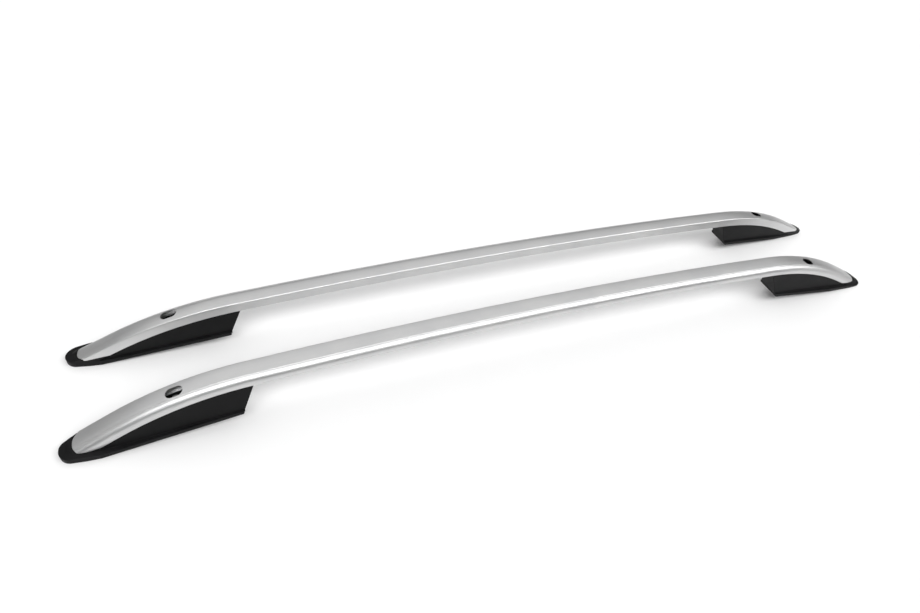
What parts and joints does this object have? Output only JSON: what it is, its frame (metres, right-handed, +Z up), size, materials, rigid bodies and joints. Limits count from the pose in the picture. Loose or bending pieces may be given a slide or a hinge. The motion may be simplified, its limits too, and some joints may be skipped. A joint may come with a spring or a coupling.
{
  "type": "roof side rail pair",
  "caption": "Mirrored pair of low, gently arched roof side rails: hollow silver tubes with a rounded outer shoulder on ribbed black feet with tapered toes.",
  "frame": {"origin": "centre of the pair's bounding box in plan, on the plane that the feet stand on", "axes": "+X along the rails towards the rear feet, +Y towards the left rail, +Z up"},
  "size_m": [1.84, 0.2752, 0.1283],
  "materials": {
    "tube": "satin silver anodised",
    "foot": "fine-grained black",
    "gasket": "matte",
    "steel": "zinc plated"
  },
  "bodies": {
    "root": {"left_rail_tube": "tube", "left_front_foot": "foot", "left_front_gasket": "gasket", "left_front_bush": "steel", "left_front_screw_1": "steel", "left_front_screw_2": "steel", "left_rear_foot": "foot", "left_rear_gasket": "gasket", "left_rear_bush": "steel", "left_rear_screw_1": "steel", "left_rear_screw_2": "steel", "right_rail_tube": "tube", "right_front_foot": "foot", "right_front_gasket": "gasket", "right_front_bush": "steel", "right_front_screw_1": "steel", "right_front_screw_2": "steel", "right_rear_foot": "foot", "right_rear_gasket": "gasket", "right_rear_bush": "steel", "right_rear_screw_1": "steel", "right_rear_screw_2": "steel"}
  },
  "joints": []
}
